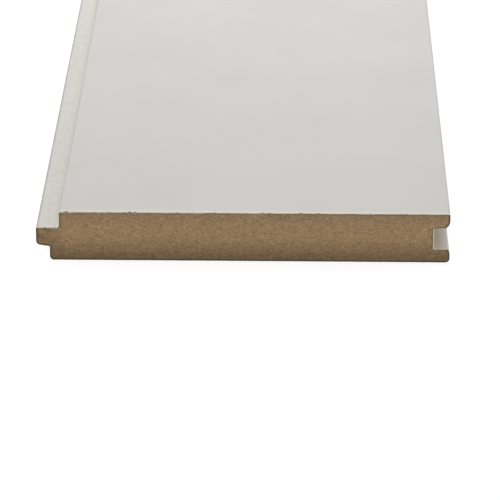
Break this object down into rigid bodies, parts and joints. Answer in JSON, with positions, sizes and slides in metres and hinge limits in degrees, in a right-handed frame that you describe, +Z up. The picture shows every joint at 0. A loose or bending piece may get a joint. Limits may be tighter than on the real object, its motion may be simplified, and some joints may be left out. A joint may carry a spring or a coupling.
{
  "type": "shiplap board",
  "caption": "Primed MDF nickel-gap shiplap board: a flat face with a tongue along one edge and a groove along the other, square sawn at both ends.",
  "frame": {"origin": "centre of the bounding box's underside: half way along the length and half way between the tongue's tip and the groove's lips, on the plane of the back", "axes": "+X across the board from the tongue to the groove, +Y along the length away from the sawn end seen in the picture, +Z up from the back to the primed face"},
  "size_m": [0.1396, 2.4384, 0.0175],
  "materials": {
    "primed_mdf": "matt white primer on the face, edges, tongue and groove; bare brown MDF on the back and the two sawn ends"
  },
  "bodies": {
    "root": {"board": "primed_mdf"}
  },
  "joints": []
}
